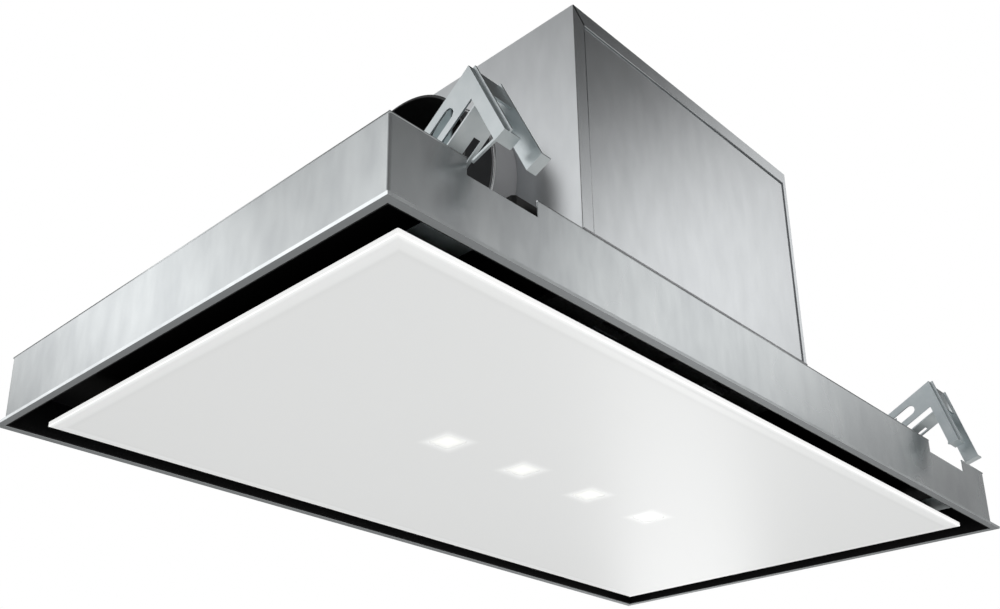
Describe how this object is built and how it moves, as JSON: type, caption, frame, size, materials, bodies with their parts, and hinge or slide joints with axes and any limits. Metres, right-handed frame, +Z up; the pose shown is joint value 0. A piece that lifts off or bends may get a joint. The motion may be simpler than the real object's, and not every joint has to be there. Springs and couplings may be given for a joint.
{
  "type": "ceiling range hood",
  "caption": "Flush ceiling hood with a hinged glass panel, a suction gap round it, lights, fold-out clamps and a motor box with a side outlet.",
  "frame": {"origin": "middle of the plan, in the plane of the ceiling flange's underside", "axes": "+X along the length, away from the duct outlet; +Y along the depth, towards the panel's hinges; +Z up into the ceiling"},
  "size_m": [0.9, 0.571, 0.2665],
  "materials": {
    "galvanised_sheet": "spangled zinc coating, satin",
    "zinc_plated_steel": "bright zinc plating",
    "black_painted_steel": "black powder coat, semi-gloss",
    "white_glass": "white back-printed toughened glass, opaque, polished bevel",
    "frosted_lens": "frosted, lit",
    "aluminium": "die-cast",
    "dark_plastic": "dark grey moulded",
    "black_plastic": "black moulded",
    "white_plastic": "white moulded",
    "steel": "turned",
    "brass": "sintered",
    "rubber": "matt",
    "motor_paint": "dark grey paint"
  },
  "bodies": {
    "housing": {"tray_shell": "galvanised_sheet", "tray_deck": "galvanised_sheet", "inner_liner": "black_painted_steel", "liner_standoffs": "zinc_plated_steel", "hinge_brackets": "zinc_plated_steel", "catch_magnets": "black_plastic", "motor_box": "galvanised_sheet", "box_cover": "galvanised_sheet", "box_screws": "zinc_plated_steel", "outlet_spigot": "dark_plastic", "stop_ring": "zinc_plated_steel", "damper_spindle": "steel", "fan_scroll": "galvanised_sheet", "fan_mounts": "rubber", "inlet_ring": "dark_plastic", "shaft_bush": "brass", "fan_motor": "motor_paint", "clamp_bases": "zinc_plated_steel", "clamp_bolts": "zinc_plated_steel", "base_screws": "zinc_plated_steel", "terminal_box": "black_plastic", "control_box": "black_plastic", "control_lid": "black_plastic", "lid_screws": "zinc_plated_steel", "cable_gland": "black_plastic", "lead_grommet": "rubber", "light_driver": "white_plastic", "filter_frame_1": "aluminium", "filter_mesh_1": "aluminium", "filter_frame_2": "aluminium", "filter_mesh_2": "aluminium"},
    "panel": {"glass_panel": "white_glass", "panel_carrier": "black_painted_steel", "light_lenses": "frosted_lens", "light_modules": "aluminium", "hinge_pins": "steel", "catch_plates": "zinc_plated_steel"},
    "fan_wheel": {"impeller": "dark_plastic", "fan_shaft": "steel", "impeller_nut": "steel"},
    "flap_1": {"damper_flap_1": "black_plastic"},
    "flap_2": {"damper_flap_2": "black_plastic"},
    "latch_1": {"filter_latch_1": "black_plastic"},
    "latch_2": {"filter_latch_2": "black_plastic"},
    "clamp_1": {"clamp_1": "zinc_plated_steel"},
    "clamp_2": {"clamp_2": "zinc_plated_steel"},
    "clamp_3": {"clamp_3": "zinc_plated_steel"},
    "clamp_4": {"clamp_4": "zinc_plated_steel"}
  },
  "joints": [
    {"name": "panel_swing", "type": "hinge", "parent": "housing", "child": "panel", "pos_m": [0, 0.212, 0.012], "axis": [1, 0, 0], "range_deg": [0, 85]},
    {"name": "fan_spin", "type": "hinge", "parent": "housing", "child": "fan_wheel", "pos_m": [-0.0727, -0.0402, 0.1855], "axis": [0, 0, 1], "continuous": true},
    {"name": "flap_1_open", "type": "hinge", "parent": "housing", "child": "flap_1", "pos_m": [-0.267, -0.1052, 0.141], "axis": [0, 0, -1], "range_deg": [0, 75], "stiffness_Nm_per_rad": 0.01, "springref_deg": -11.46},
    {"name": "flap_2_open", "type": "hinge", "parent": "housing", "child": "flap_2", "pos_m": [-0.267, -0.1052, 0.141], "axis": [0, 0, 1], "range_deg": [0, 75], "stiffness_Nm_per_rad": 0.01, "springref_deg": -11.46},
    {"name": "latch_1_draw", "type": "slide", "parent": "housing", "child": "latch_1", "axis": [0, 1, 0], "range_m": [0, 0.005], "stiffness_N_per_m": 300, "springref_m": -0.002},
    {"name": "latch_2_draw", "type": "slide", "parent": "housing", "child": "latch_2", "axis": [0, 1, 0], "range_m": [0, 0.005], "stiffness_N_per_m": 300, "springref_m": -0.002},
    {"name": "clamp_1_fold", "type": "hinge", "parent": "housing", "child": "clamp_1", "pos_m": [-0.363, -0.1875, 0.0795], "axis": [1, 0, 0], "range_deg": [-75, 2]},
    {"name": "clamp_2_fold", "type": "hinge", "parent": "housing", "child": "clamp_2", "pos_m": [0.32, -0.1875, 0.0795], "axis": [1, 0, 0], "range_deg": [-84, 0]},
    {"name": "clamp_3_fold", "type": "hinge", "parent": "housing", "child": "clamp_3", "pos_m": [0.363, 0.1875, 0.0795], "axis": [-1, 0, 0], "range_deg": [-75, 2]},
    {"name": "clamp_4_fold", "type": "hinge", "parent": "housing", "child": "clamp_4", "pos_m": [-0.32, 0.1875, 0.0795], "axis": [-1, 0, 0], "range_deg": [-84, 0]}
  ]
}
